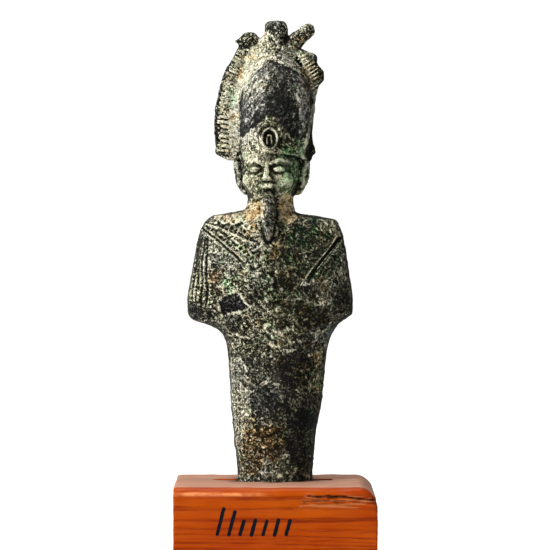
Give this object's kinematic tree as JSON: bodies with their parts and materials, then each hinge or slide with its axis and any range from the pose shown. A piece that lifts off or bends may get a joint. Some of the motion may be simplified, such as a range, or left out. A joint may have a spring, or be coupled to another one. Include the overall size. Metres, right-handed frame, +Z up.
{
  "type": "osiris figure",
  "caption": "Cast bronze mummy-shaped god with crook, flail and tall plumed crown, one plume broken, set upright in a small stained wooden block.",
  "frame": {"origin": "centre of the wooden block's underside", "axes": "+Z up along the figure, which looks along -Y; the block's grain runs along X"},
  "size_m": [0.048, 0.04, 0.1325],
  "materials": {
    "bronze": "dark corroded bronze with a pale crust and green patches",
    "stained_wood": "orange-red stain under gloss varnish"
  },
  "bodies": {
    "root": {"osiris_figure": "bronze", "wooden_block": "stained_wood"}
  },
  "joints": []
}
